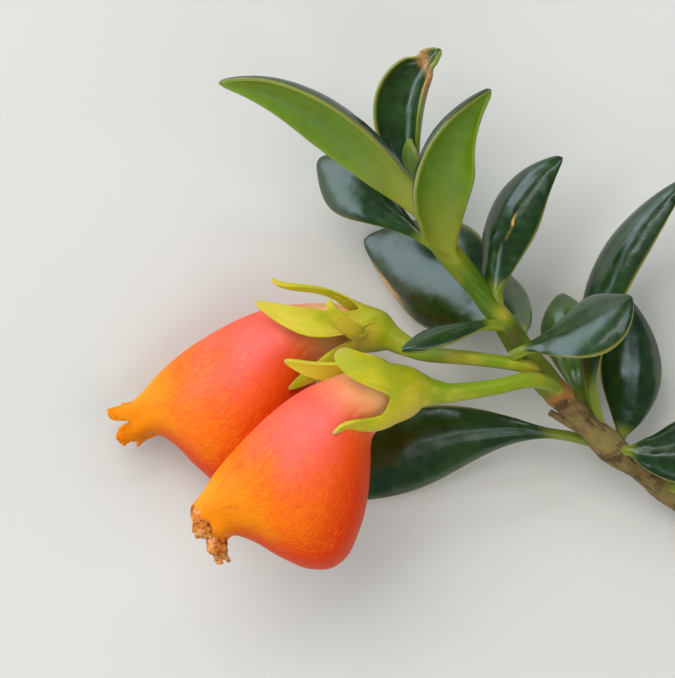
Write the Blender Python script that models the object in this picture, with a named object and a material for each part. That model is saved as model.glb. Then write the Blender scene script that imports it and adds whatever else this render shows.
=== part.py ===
# A flowering sprig of goldfish plant, cut from the plant and laid down on a table.
# Sizes are in millimetres. X runs along the sprig from the flowers (-) to the cut end (+), Z is up
# from the table, and Y completes the frame.
# Every place below is measured from a point on the table beside the back flower, and SET_DOWN moves
# the finished sprig so that the middle of its footprint is at the world's origin.

import math

import bmesh
import bpy
import numpy as np
from mathutils import Matrix, Vector

MM = 0.001
SET_DOWN = (-9.224, -3.275, 0.0)

# Gap between pieces that touch, and how thick leaf and petal are.
GAP = 0.3
LEAF_THICK = 0.66
SEPAL_THICK = 0.62
PETAL_THICK = 0.8

# How finely the solids are faceted.
LEAF_STATIONS = 13
LEAF_COLUMNS = 7
LOBE_COLUMNS = 5
CUP_ROWS = 3
SEPAL_ROWS = 8
SEPAL_COLUMNS = 6
STEM_SIDES = 10
POUCH_SIDES = 20

# Middle line of the stem, from the cut end to the tip, as (x, y, z, radius).
WOODY_STEM = [
    (37.6, -18.9, 0.85, 1.0),
    (35.2, -16.9, 2.4, 1.0),
    (33.0, -15.0, 4.2, 1.35),
    (30.4, -13.2, 6.0, 1.0),
    (27.4, -10.8, 8.0, 1.5),
    (24.6, -8.0, 9.6, 1.1),
    (21.6, -5.0, 11.0, 1.35),
    (18.6, -1.4, 12.0, 1.3),
]
GREEN_SHOOT = [
    (18.4, -1.0, 12.1, 1.25),
    (16.4, 1.9, 12.5, 1.15),
    (13.6, 5.6, 12.9, 1.1),
    (10.9, 8.9, 13.2, 1.25),
    (9.3, 11.4, 13.4, 0.9),
    (8.4, 13.6, 13.5, 0.5),
]
OLD_STALK = [(25.4, -9.8, 9.0, 0.42), (23.0, -8.4, 9.7, 0.36), (21.0, -7.2, 10.4, 0.3)]

# Each leaf: root on the stem's middle line, tip, how far the middle bows off the straight line,
# the way its upper side faces, width, how far the margins bend down (degrees, negative is up),
# where along the blade it is widest, and the share of its length that is stalk.
LEAVES = {
    "leaf_tip_left": dict(
        root=(10.3, 9.0, 13.3), tip=(-11.8, 25.4, 15.8), bow=(1.5, 4.6, 1.6),
        face=(0.58, 0.58, -0.57), width=8.2, bend=50, widest=0.43, stalk=0.08,
    ),
    "leaf_tip_right": dict(
        root=(10.9, 8.6, 14.0), tip=(15.2, 24.7, 18.0), bow=(-3.7, 0.5, 2.0),
        face=(-0.5, 0.36, -0.79), width=7.4, bend=50, widest=0.42, stalk=0.08,
    ),
    "leaf_tip_inner": dict(
        root=(9.0, 11.8, 12.6), tip=(10.3, 29.0, 12.2), bow=(-2.7, 1.2, -0.6),
        face=(-0.51, 0.2, 0.83), width=6.7, bend=-55, widest=0.55, stalk=0.12,
    ),
    "leaf_tip_bud": dict(
        root=(8.9, 13.0, 13.6), tip=(7.2, 20.0, 14.2), bow=(-0.3, 0.3, 0.2),
        face=(0.7, 0.3, -0.6), width=2.4, bend=40, widest=0.55, stalk=0.1,
    ),
    "leaf_left_upper": dict(
        root=(11.2, 8.2, 12.6), tip=(-1.8, 18.1, 6.0), bow=(-1.4, 0.8, 1.4),
        face=(-0.7, 0.45, 0.55), width=6.1, bend=40, widest=0.57, stalk=0.12,
    ),
    "leaf_left_lower": dict(
        root=(17.2, 0.8, 11.6), tip=(2.8, 10.1, 0.05), bow=(0.9, 0.4, 1.6),
        face=(-0.58, 0.12, 0.81), width=12.2, bend=42, widest=0.53, stalk=0.12,
    ),
    "leaf_right_upper": dict(
        root=(16.4, 1.9, 12.6), tip=(22.5, 18.1, 12.6), bow=(-2.9, 1.4, 0.9),
        face=(-0.66, -0.01, 0.75), width=7.0, bend=45, widest=0.47, stalk=0.12,
    ),
    "leaf_behind_shoot": dict(
        root=(18.5, -0.8, 11.5), tip=(17.1, 6.6, 3.2), bow=(0.3, 0.8, 0.8),
        face=(0.38, 0.83, 0.4), width=4.1, bend=40, widest=0.48, stalk=0.14,
    ),
    "leaf_small_front": dict(
        root=(16.7, 1.3, 13.0), tip=(6.4, -1.2, 16.4), bow=(-0.1, 0.9, 0.5),
        face=(-0.14, 0.86, 0.49), width=3.9, bend=35, widest=0.63, stalk=0.14,
    ),
    "leaf_front_right": dict(
        root=(18.3, -0.9, 12.6), tip=(29.2, 4.1, 18.8), bow=(-0.5, -0.1, 2.0),
        face=(-0.27, 0.68, 0.68), width=8.8, bend=35, widest=0.61, stalk=0.14,
    ),
    "leaf_right_long": dict(
        root=(26.6, -9.6, 8.9), tip=(35.2, 16.1, 9.0), bow=(-4.7, 1.7, 1.0),
        face=(-0.75, 0.18, 0.63), width=6.7, bend=45, widest=0.55, stalk=0.12,
    ),
    "leaf_back_middle": dict(
        root=(25.8, -9.0, 7.7), tip=(22.8, 4.4, 1.0), bow=(-1.3, 2.4, 1.4),
        face=(-0.37, 0.64, 0.67), width=5.5, bend=42, widest=0.57, stalk=0.12,
    ),
    "leaf_back_right": dict(
        root=(28.0, -11.2, 7.2), tip=(29.3, 4.2, 2.2), bow=(1.2, -0.4, 1.4),
        face=(0.17, 0.33, 0.93), width=6.8, bend=42, widest=0.53, stalk=0.1,
    ),
    "leaf_lower_left": dict(
        root=(27.0, -10.8, 7.4), tip=(-1.5, -16.2, 0.15), bow=(0.4, 3.7, 1.4),
        face=(-0.09, -0.26, 0.96), width=8.8, bend=35, widest=0.67, stalk=0.16,
    ),
    "leaf_lower_right": dict(
        root=(27.8, -11.0, 8.2), tip=(41.2, -8.6, 9.8), bow=(-0.4, -1.2, 1.0),
        face=(-0.19, 0.38, 0.9), width=7.8, bend=40, widest=0.56, stalk=0.12,
    ),
    "leaf_low_young": dict(
        root=(33.0, -15.0, 4.6), tip=(41.0, -13.6, 6.8), bow=(0.2, -0.5, 0.6),
        face=(0.0, 0.30, 0.95), width=3.6, bend=30, widest=0.58, stalk=0.16,
    ),
}

# One flower's pouch, seen from the side: for each rib from the cup to the mouth, the point on its
# back (along, up), the point on its belly (along, up), and half its breadth.
POUCH_RIBS = [
    ((-0.6, 2.1), (0.3, -0.5), 1.2),
    ((0.7, 3.2), (2.0, -0.7), 1.9),
    ((2.6, 4.1), (3.8, -1.2), 2.4),
    ((4.8, 4.8), (5.5, -1.8), 3.3),
    ((7.2, 5.3), (7.4, -4.4), 4.3),
    ((9.6, 5.5), (9.6, -7.1), 5.0),
    ((12.2, 5.3), (12.2, -9.2), 5.4),
    ((14.8, 4.9), (14.9, -10.2), 5.4),
    ((17.2, 4.4), (17.3, -9.4), 4.9),
    ((19.3, 4.0), (19.2, -7.0), 4.0),
    ((21.0, 3.6), (20.7, -4.0), 3.1),
    ((22.4, 3.1), (22.0, -2.4), 2.5),
    ((23.6, 2.7), (23.0, -2.2), 2.3),
]
# Lobes round the mouth: angle from the back of the flower (degrees), length, and how far each
# turns outward from the flower's own direction (degrees).
MOUTH_LOBES = [(10, 1.2, 0), (80, 1.4, 5), (180, 1.8, 12), (240, 1.6, 15), (305, 2.2, 20)]

# Each flower: where the pouch starts, which way it points over the table, how much its mouth dips,
# its roll, and its size. Its stalk runs from the stem to the cup as (x, y, z, radius). The cup opens
# from the stalk's end to its rim, which is a circle, and splits there into five sepals.
# Each sepal: its place round the rim in degrees, from the back of the flower towards the side that
# faces up; its width; how blunt it is; the way its outer side faces at the tip; and its middle line.
FLOWERS = {
    "front": dict(
        at=(6.75, -5.3, 15.4), heading=214, dip=2, roll=0, size=1.0,
        stalk=[
            (22.0, -5.2, 10.9, 0.85),
            (21.0, -4.3, 13.3, 0.82),
            (18.8, -4.1, 15.0, 0.78),
            (16.2, -4.7, 15.5, 0.78),
            (13.7, -5.1, 15.5, 0.86),
            (11.2, -5.4, 15.5, 0.98),
            (9.7, -5.35, 15.45, 1.25),
            (8.5, -5.2, 15.4, 1.65),
            (7.7, -5.1, 15.4, 2.05),
        ],
        rim=(6.2, -5.15, 15.4), rim_radius=3.15,
        sepals=[
            (35, 4.2, 2.4, (-0.1, 0.5, 0.85), [
                (4.6, -2.6, 18.7), (2.6, -2.5, 19.3), (1.2, -2.0, 19.3), (0.1, -0.9, 18.8),
            ]),
            (120, 2.6, 1.7, (-0.1, -0.5, 0.85), [
                (5.6, -7.6, 18.2), (4.2, -8.3, 18.5), (2.4, -8.4, 19.1), (0.8, -8.5, 20.0), (-0.4, -9.5, 20.5),
            ]),
            (190, 2.8, 1.7, (0.1, -0.9, -0.3), [(4.4, -9.0, 14.0), (2.4, -9.6, 12.2), (0.2, -9.9, 10.0)]),
            (255, 2.8, 1.7, (-0.2, 0.1, -0.95), [(4.2, -6.4, 11.8), (1.4, -6.4, 10.6), (-2.0, -6.2, 10.4)]),
            (322, 3.2, 1.6, (0.1, 0.8, -0.5), [
                (3.6, -2.6, 14.8), (0.8, -2.6, 15.0), (-1.4, -3.0, 15.1), (-3.4, -2.4, 15.1), (-5.4, -2.0, 15.0),
            ]),
        ],
    ),
    "back": dict(
        at=(2.4, 0.25, 7.15), heading=201, dip=8, roll=8, size=1.03,
        stalk=[
            (20.2, -3.4, 11.5, 0.72),
            (18.9, -2.8, 13.4, 0.72),
            (16.8, -2.4, 13.5, 0.7),
            (13.0, -1.9, 12.6, 0.72),
            (9.0, -1.5, 10.8, 0.82),
            (6.6, -0.6, 9.4, 1.1),
            (4.8, 0.3, 8.6, 1.5),
        ],
        rim=(3.2, 1.05, 8.1), rim_radius=2.6,
        sepals=[
            (335, 1.7, 1.5, (0.1, 0.9, -0.4), [
                (1.9, 3.5, 8.6), (0.3, 4.4, 9.0), (-1.6, 5.2, 9.3), (-3.9, 5.4, 9.5), (-5.8, 5.6, 9.6), (-6.6, 6.4, 9.6),
            ]),
            (35, 4.4, 1.4, (-0.1, 0.3, 0.95), [
                (1.2, 1.9, 11.2), (-1.2, 1.9, 12.0), (-3.8, 2.3, 11.9), (-6.4, 2.9, 11.2), (-8.8, 4.1, 10.6),
            ]),
            (90, 2.0, 1.6, (-0.5, 0.2, 0.85), [
                (1.6, 1.1, 12.3), (0.3, 2.1, 13.2), (-0.6, 3.2, 13.6), (-0.9, 4.2, 13.5),
            ]),
            (155, 2.4, 1.6, (-0.3, -0.5, 0.8), [
                (0.6, -1.6, 10.6), (-1.4, -2.9, 11.2), (-3.4, -4.0, 11.1), (-5.0, -5.2, 10.9),
            ]),
            (245, 2.8, 1.6, (-0.1, -0.1, -0.95), [(0.8, 0.6, 4.8), (-2.0, 0.5, 3.2), (-5.2, 0.4, 2.5)]),
        ],
    ),
}

# Colours as they look in daylight: red, green, blue, roughness.
MATERIALS = {
    "bark": (0.20, 0.10, 0.035, 0.75),
    "young_green": (0.30, 0.45, 0.05, 0.45),
    "leaf": (0.035, 0.14, 0.03, 0.2),
    "calyx": (0.50, 0.58, 0.06, 0.5),
    "petal": (0.95, 0.27, 0.06, 0.4),
}


def clear_scene():
    for thing in list(bpy.data.objects):
        bpy.data.objects.remove(thing)


def material(name):
    """A plain finish for the solids, made once and shared."""
    found = bpy.data.materials.get(name)
    if found:
        return found
    made = bpy.data.materials.new(name)
    made.use_nodes = True
    red, green, blue, roughness = MATERIALS[name]
    shader = made.node_tree.nodes["Principled BSDF"]
    shader.inputs["Base Color"].default_value = (red, green, blue, 1)
    shader.inputs["Roughness"].default_value = roughness
    shader.inputs["Metallic"].default_value = 0
    made.diffuse_color = (red, green, blue, 1)
    return made


def unit(vector):
    vector = np.array(vector, float)
    return vector / np.linalg.norm(vector)


def smooth_rows(rows, count):
    """count rows along the smooth curve that passes through the given rows of numbers."""
    rows = np.array(rows, float)
    ends = np.vstack([2 * rows[0] - rows[1], rows, 2 * rows[-1] - rows[-2]])
    out = []
    for place in np.linspace(0, len(rows) - 1, count):
        i = min(int(place), len(rows) - 2)
        t = place - i
        a, b, c, d = ends[i : i + 4]
        out.append(
            0.5 * (2 * b + (c - a) * t + (2 * a - 5 * b + 4 * c - d) * t**2 + (3 * b - a - 3 * c + d) * t**3)
        )
    return np.array(out)


def loft(name, rings, origin, finish, close_ends=True):
    """An object whose skin joins closed rings of points, each with the same number of points."""
    mesh = bpy.data.meshes.new(name)
    shape = bmesh.new()
    rows = [[shape.verts.new((Vector(p) - Vector(origin)) * MM) for p in ring] for ring in rings]
    sides = len(rows[0])
    for near, far in zip(rows, rows[1:]):
        for k in range(sides):
            after = (k + 1) % sides
            shape.faces.new((near[k], near[after], far[after], far[k]))
    if close_ends:
        shape.faces.new(rows[0])
        shape.faces.new(rows[-1])
    bmesh.ops.recalc_face_normals(shape, faces=shape.faces)
    shape.to_mesh(mesh)
    shape.free()
    mesh.shade_smooth()
    mesh.set_sharp_from_angle(angle=math.radians(50))
    mesh.materials.append(material(finish))
    made = bpy.data.objects.new(name, mesh)
    bpy.context.scene.collection.objects.link(made)
    made.location = Vector(origin) * MM
    return made


def tube_rings(rows, sides, grow=0.0):
    """Rings round a middle line whose rows are (x, y, z, radius), turned as little as can be.
    A tube that is grown gets wider and longer by that much all round."""
    points, radii = rows[:, :3].copy(), rows[:, 3] + grow
    points[0] -= unit(points[1] - points[0]) * grow
    points[-1] += unit(points[-1] - points[-2]) * grow
    along = [unit(v) for v in np.gradient(points, axis=0)]
    across = unit(np.cross(along[0], (0.31, 0.17, 0.93)))
    rings = []
    for point, radius, ahead in zip(points, radii, along):
        across = unit(across - ahead * np.dot(across, ahead))
        other = np.cross(ahead, across)
        turns = [2 * math.pi * k / sides for k in range(sides)]
        rings.append([point + radius * (across * math.cos(a) + other * math.sin(a)) for a in turns])
    return rings


def leaf_outline(place, widest):
    """Half width of an oval leaf blade with a tapered base and a short point, from 0 to 1."""
    power = math.log(0.5) / math.log(widest)
    return math.sin(math.pi * min(max(place, 0.0), 1.0) ** power) ** 0.78 if 0 < place < 1 else 0.0


def blade_rings(spec, thick, stations, columns, outline, stalk_half, tip_half):
    """Cross-sections of a leaf or lobe. Each is the upper side from margin to margin, then the
    lower side back again. Margins bend away from the side that faces spec['face']."""
    root, tip, bow = (np.array(spec[key], float) for key in ("root", "tip", "bow"))
    middle = (root + tip) / 2 + 2 * bow
    stalk = spec.get("stalk", 0.0)
    bend = math.radians(spec["bend"])
    rings = []
    for i in range(stations):
        t = i / (stations - 1)
        point = (1 - t) ** 2 * root + 2 * t * (1 - t) * middle + t**2 * tip
        ahead = unit((1 - t) * (middle - root) + t * (tip - middle))
        up = unit(np.array(spec["face"], float) - ahead * np.dot(spec["face"], ahead))
        side = np.cross(ahead, up)
        blade = min(max((t - stalk) / (1 - stalk), 0.0), 1.0)
        flat = min(blade * 5, 1.0) if stalk else 1.0
        least = stalk_half + (tip_half - stalk_half) * t
        half = math.hypot(spec["width"] / 2 * outline(blade), least)
        curl = bend * flat if abs(bend) * flat > 0.01 else 0.01
        upper, lower = [], []
        for q in np.linspace(-1, 1, columns):
            turn = curl * q
            spot = point + side * half * math.sin(turn) / curl - up * half * (1 - math.cos(turn)) / curl
            out = up * math.cos(turn) + side * math.sin(turn)
            round_edge = stalk_half * 0.8 * math.sqrt(1 - 0.85 * q * q)
            flat_edge = thick / 2 * (1 - 0.09 * q * q)
            height = round_edge + (flat_edge - round_edge) * flat
            upper.append(spot + out * height)
            lower.append(spot - out * height)
        rings.append(upper + lower[::-1])
    return rings


def tube(name, rows, stations, sides, finish, grow=0.0):
    return loft(name, tube_rings(smooth_rows(rows, stations), sides, grow), rows[0][:3], finish)


def leaf(name, spec):
    rings = blade_rings(
        spec, LEAF_THICK, LEAF_STATIONS, LEAF_COLUMNS,
        lambda place: leaf_outline(place, spec["widest"]), stalk_half=0.6, tip_half=0.3,
    )
    finish = "young_green" if name in ("leaf_tip_bud", "leaf_low_young") else "leaf"
    return loft(name, rings, spec["root"], finish)


def hide_cutter(thing):
    thing.hide_render = True
    thing.display_type = "WIRE"


def cut(thing, cutter, solver="EXACT"):
    """Takes the cutter's shape out of the thing and keeps the cut live."""
    trim = thing.modifiers.new("trim", "BOOLEAN")
    trim.operation = "DIFFERENCE"
    trim.solver = solver
    trim.object = cutter


def apply_modifiers(thing):
    bpy.context.view_layer.update()
    graph = bpy.context.evaluated_depsgraph_get()
    done = bpy.data.meshes.new_from_object(thing.evaluated_get(graph), depsgraph=graph)
    thing.modifiers.clear()
    thing.data = done


def fuse(thing, pieces):
    """Joins the pieces into the thing with one union, then removes them."""
    group = bpy.data.collections.new(thing.name + "_pieces")
    bpy.context.scene.collection.children.link(group)
    for piece in pieces:
        bpy.context.scene.collection.objects.unlink(piece)
        group.objects.link(piece)
    join = thing.modifiers.new("join", "BOOLEAN")
    join.operation = "UNION"
    join.solver = "EXACT"
    join.operand_type = "COLLECTION"
    join.collection = group
    apply_modifiers(thing)
    for piece in pieces:
        bpy.data.objects.remove(piece)
    bpy.data.collections.remove(group)
    return thing


def flower_matrix(flower):
    """Turns a flower's own frame (along, up, aside) into the sprig's: heading, then dip, then roll.
    A flower whose back is to the left as it points lies on its other side, hence the half turn."""
    turn = Matrix.Rotation(math.radians(flower["heading"]), 4, "Z")
    turn = turn @ Matrix.Rotation(math.radians(flower["dip"]), 4, "Y")
    return turn @ Matrix.Rotation(math.radians(180 + flower["roll"]), 4, "X")


def pouch_ring(rib, shrink=0.0):
    """Points round one rib of the pouch, in the flower's own frame."""
    (back_x, back_y), (belly_x, belly_y), half = rib
    back, belly = np.array((back_x, back_y, 0.0)), np.array((belly_x, belly_y, 0.0))
    centre, spoke = (back + belly) / 2, (back - belly) / 2
    reach = np.linalg.norm(spoke)
    spoke = spoke * (reach - shrink) / reach
    aside = np.array((0.0, 0.0, half - shrink))
    turns = [2 * math.pi * k / POUCH_SIDES for k in range(POUCH_SIDES)]
    return [centre + spoke * math.cos(a) + aside * math.sin(a) for a in turns]


def mouth_lobe(name, angle, length, flare):
    """One small lobe at the mouth, rooted in the pouch's wall and turned outward."""
    (back_x, back_y), (belly_x, belly_y), half = POUCH_RIBS[-1]
    turn, lean = math.radians(angle), math.radians(flare)
    centre = np.array(((back_x + belly_x) / 2, (back_y + belly_y) / 2, 0.0))
    out = np.array((0.0, math.cos(turn), math.sin(turn)))
    reach = np.array((0.0, (back_y - belly_y) / 2 * math.cos(turn), half * math.sin(turn)))
    root = centre + reach - out * PETAL_THICK / 2 - np.array((0.9, 0.0, 0.0))
    ahead = np.array((math.cos(lean), 0, 0)) + out * math.sin(lean)
    spec = dict(
        root=root, tip=root + ahead * (length + 0.9), bow=-out * length * 0.08, face=-out,
        width=2.0, bend=-20,
    )
    rings = blade_rings(
        spec, SEPAL_THICK, 6, LOBE_COLUMNS, lambda place: (1 - place**3) ** 0.6, stalk_half=0.3, tip_half=0.3
    )
    return loft(name, rings, (0, 0, 0), "petal")


def place_flower(thing, flower):
    place = Matrix.Translation(Vector(flower["at"]) * MM) @ flower_matrix(flower)
    thing.matrix_world = place @ Matrix.Scale(flower["size"], 4)


def pouch_room(name, flower):
    """The pouch as a solid, grown by the gap, which the cup and the sepals keep out of."""
    ribs = [[Vector(p) for p in pouch_ring(rib, shrink=-GAP)] for rib in POUCH_RIBS]
    ribs[0] = [p - Vector((GAP, 0, 0)) for p in ribs[0]]
    ribs[-1] = [p + Vector((GAP, 0, 0)) for p in ribs[-1]]
    room = loft(name, ribs, (0, 0, 0), "petal")
    place_flower(room, flower)
    hide_cutter(room)
    return room


def corolla(name, flower):
    """The orange pouch: a hollow skin open at the cup and at the mouth, with five lobes."""
    ribs = [[Vector(p) for p in pouch_ring(rib)] for rib in POUCH_RIBS]
    pouch = loft(name, ribs, (0, 0, 0), "petal", close_ends=False)
    wall = pouch.modifiers.new("wall", "SOLIDIFY")
    wall.thickness = PETAL_THICK * MM
    wall.offset = -1
    apply_modifiers(pouch)
    lobes = [mouth_lobe(f"{name}_lobe_{i}", *row) for i, row in enumerate(MOUTH_LOBES)]
    fuse(pouch, lobes)
    place_flower(pouch, flower)
    return pouch


def ease(share):
    share = min(max(share, 0.0), 1.0)
    return share * share * (3 - 2 * share)


def line_at(points, share):
    """The place at that share of the smooth curve through the points."""
    count = 200
    return smooth_rows(points, count + 1)[round(min(max(share, 0.0), 1.0) * count)]


def cup_circle(flower):
    """The cup's axis, and a function for points on a circle round it: 0 is the flower's back, and a
    quarter turn on is the side that faces up."""
    axis = unit(np.array(flower["rim"]) - flower["stalk"][-1][:3])
    front = unit(np.array((0.0, 0.0, 1.0)) - axis * axis[2])
    back = np.cross(axis, front)
    return axis, lambda middle, radius, turn: middle + radius * (back * math.cos(turn) + front * math.sin(turn))


def sepal_strips(flower, number):
    """One sepal and its share of the cup, as columns of points from the stalk to the sepal's edge.
    Columns at a sector's two sides are shared with the next sepals, so the cup is one closed ring."""
    sepals = flower["sepals"]
    degrees, width, blunt, face, line = sepals[number]
    before = math.radians((degrees - sepals[number - 1][0]) % 360) / 2
    after = math.radians((sepals[(number + 1) % len(sepals)][0] - degrees) % 360) / 2
    turn, face = math.radians(degrees), unit(face)
    axis, circle = cup_circle(flower)
    rim, wide = np.array(flower["rim"]), flower["rim_radius"]
    stalk_end, narrow = np.array(flower["stalk"][-1][:3]), flower["stalk"][-1][3] - GAP
    start = stalk_end - axis * 2 * GAP
    middle = [circle(stalk_end, narrow, turn), circle(rim, wide, turn), *line]
    first = 1 / (len(middle) - 1)
    radial = unit(middle[1] - rim)

    def frame_at(share):
        """The middle line there, the way across it and the way out of it."""
        here, ahead, behind = (line_at(middle, first + (1 - first) * share + step) for step in (0, 0.02, -0.02))
        ahead = unit(ahead - behind)
        out = radial + (face - radial) * ease(share * 1.3)
        out = unit(out - ahead * np.dot(out, ahead))
        return here, np.cross(out, ahead), out

    root, root_across, root_out = frame_at(0.0)
    columns = []
    for c in np.linspace(-1, 1, SEPAL_COLUMNS + 1):
        sector = after if c > 0 else before
        angle = turn + c * sector
        column = []
        for row in range(CUP_ROWS + 1):
            share = row / CUP_ROWS
            radius = narrow + (wide - narrow) * math.sin(share * math.pi / 2)
            column.append(circle(start + (rim - start) * share, radius, angle))
        base, chord, sagitta = column[-1], wide * math.sin(sector), wide * (1 - math.cos(sector))
        for row in range(1, SEPAL_ROWS + 1):
            share = row / SEPAL_ROWS * (1 - abs(c) ** blunt)
            here, across, out = frame_at(share)
            blend = ease(share * 1.6)
            half = chord * (1 - blend) + width / 2 * blend
            sag = sagitta * (1 - blend) + 0.35 * width / 2 * blend
            shift = (across * half - root_across * chord) * c - (out * sag - root_out * sagitta) * c * c
            column.append(base + (here - root) + shift)
        columns.append(column)
    return columns


def cup_and_sepals(name, flower):
    """The cup and its five sepals: one sheet, given its thickness on the inner side."""
    columns = [column for number in range(len(flower["sepals"])) for column in sepal_strips(flower, number)]
    mesh = bpy.data.meshes.new(name)
    sheet = bmesh.new()
    rows = [[sheet.verts.new(Vector(point) * MM) for point in column] for column in columns]
    for left, right in zip(rows, rows[1:] + rows[:1]):
        for k in range(len(left) - 1):
            sheet.faces.new((left[k], right[k], right[k + 1], left[k + 1]))
    bmesh.ops.remove_doubles(sheet, verts=sheet.verts, dist=0.02 * MM)
    bmesh.ops.recalc_face_normals(sheet, faces=sheet.faces)
    sheet.to_mesh(mesh)
    sheet.free()
    mesh.materials.append(material("calyx"))
    made = bpy.data.objects.new(name, mesh)
    bpy.context.scene.collection.objects.link(made)
    wall = made.modifiers.new("wall", "SOLIDIFY")
    wall.thickness = SEPAL_THICK * MM
    wall.offset = -1
    apply_modifiers(made)
    return made


def calyx(name, flower):
    """The flower's stalk, its cup and five sepals, grown together as one green piece."""
    stalk = tube(name, flower["stalk"], 17, STEM_SIDES, "calyx")
    return fuse(stalk, [cup_and_sepals(name + "_cup", flower)])


def table_cutter():
    """A block under the table's surface, which flattens whatever rests on it."""
    half, deep = 80, 20
    floor = [[(-half, -half, z), (half, -half, z), (half, half, z), (-half, half, z)] for z in (-deep, 0.0)]
    block = loft("table_cutter", floor, (0, 0, 0), "bark")
    hide_cutter(block)
    return block


def build():
    clear_scene()
    table = table_cutter()
    woody = tube("woody_stem", WOODY_STEM, 22, STEM_SIDES, "bark")
    old_stalk = tube("old_stalk", OLD_STALK, 4, 6, "bark")
    fuse(woody, [old_stalk])
    shoot = tube("green_shoot", GREEN_SHOOT, 13, STEM_SIDES, "young_green")

    woody_room = tube("woody_room", WOODY_STEM, 22, STEM_SIDES, "bark", grow=GAP)
    shoot_room = tube("shoot_room", GREEN_SHOOT, 13, STEM_SIDES, "bark", grow=GAP)
    hide_cutter(woody_room)
    hide_cutter(shoot_room)
    cut(shoot, woody_room)

    leaves = [leaf(name, spec) for name, spec in LEAVES.items()]
    for thing in leaves:
        cut(thing, woody_room)
        cut(thing, shoot_room)
    for name, flower in FLOWERS.items():
        green = calyx("calyx_" + name, flower)
        for room in (pouch_room("pouch_room_" + name, flower), woody_room, shoot_room):
            cut(green, room, "MANIFOLD")
    pouches = [corolla("corolla_" + name, flower) for name, flower in FLOWERS.items()]
    for thing in [woody, shoot, *leaves, *pouches]:
        cut(thing, table)

    sprig = bpy.data.objects.new("sprig", None)
    bpy.context.scene.collection.objects.link(sprig)
    for thing in list(bpy.context.scene.objects):
        if thing is not sprig:
            thing.parent = sprig
    sprig.location = Vector(SET_DOWN) * MM


build()
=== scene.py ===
import math

import bmesh
import bpy
from mathutils import Matrix, Vector


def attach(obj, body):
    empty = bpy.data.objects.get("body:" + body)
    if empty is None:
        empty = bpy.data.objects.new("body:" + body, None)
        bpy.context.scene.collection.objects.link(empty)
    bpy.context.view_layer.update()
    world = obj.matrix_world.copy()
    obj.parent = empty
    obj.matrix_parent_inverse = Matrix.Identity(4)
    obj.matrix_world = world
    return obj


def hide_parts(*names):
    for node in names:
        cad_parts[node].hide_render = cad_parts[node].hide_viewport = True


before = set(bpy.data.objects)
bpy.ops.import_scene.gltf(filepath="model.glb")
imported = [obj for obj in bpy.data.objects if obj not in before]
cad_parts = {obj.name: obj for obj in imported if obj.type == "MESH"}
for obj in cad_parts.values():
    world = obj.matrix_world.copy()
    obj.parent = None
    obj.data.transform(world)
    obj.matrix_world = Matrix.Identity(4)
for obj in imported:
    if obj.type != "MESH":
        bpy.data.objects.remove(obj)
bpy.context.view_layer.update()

scene = bpy.context.scene

# Woody stem.
# The old part of the shoot: a thin brown twig with a rough fibrous skin, swollen where leaves grew,
# and with ring-shaped scars. It was cut across at its low end, so pale wood shows there.

MM = 0.001
# Places are in millimetres from a point on the table beside the back flower, and SET_DOWN moves them
# so that the middle of the sprig's footprint is the origin.
SET_DOWN = Vector((-9.224, -3.275, 0.0))
# Middle lines as (x, y, z, radius): the stem from its cut end, the old stalk from its broken end.
WOODY_PATH = [
    (37.6, -18.9, 0.85, 1.0), (35.2, -16.9, 2.4, 1.0), (33.0, -15.0, 4.2, 1.35), (30.4, -13.2, 6.0, 1.0),
    (27.4, -10.8, 8.0, 1.5), (24.6, -8.0, 9.6, 1.1), (21.6, -5.0, 11.0, 1.35), (18.6, -1.4, 12.0, 1.3),
]
OLD_STALK_PATH = [(21.2, -7.3, 10.3, 0.34), (24.0, -8.9, 9.4, 0.4), (26.0, -9.9, 8.7, 0.45)]
WELD = 0.01 * MM
TABLE_ROOM = 0.6 * MM
FULL_TURN = 2 * math.pi


def spot(x, y, z):
    """A place in metres in the shared frame, from millimetres beside the back flower."""
    return (Vector((x, y, z)) + SET_DOWN) * MM


def joins(operation):
    """A method of a wire that runs one operation on it and on any others."""
    return lambda wire, *others: wire.join(operation, *others)


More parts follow.
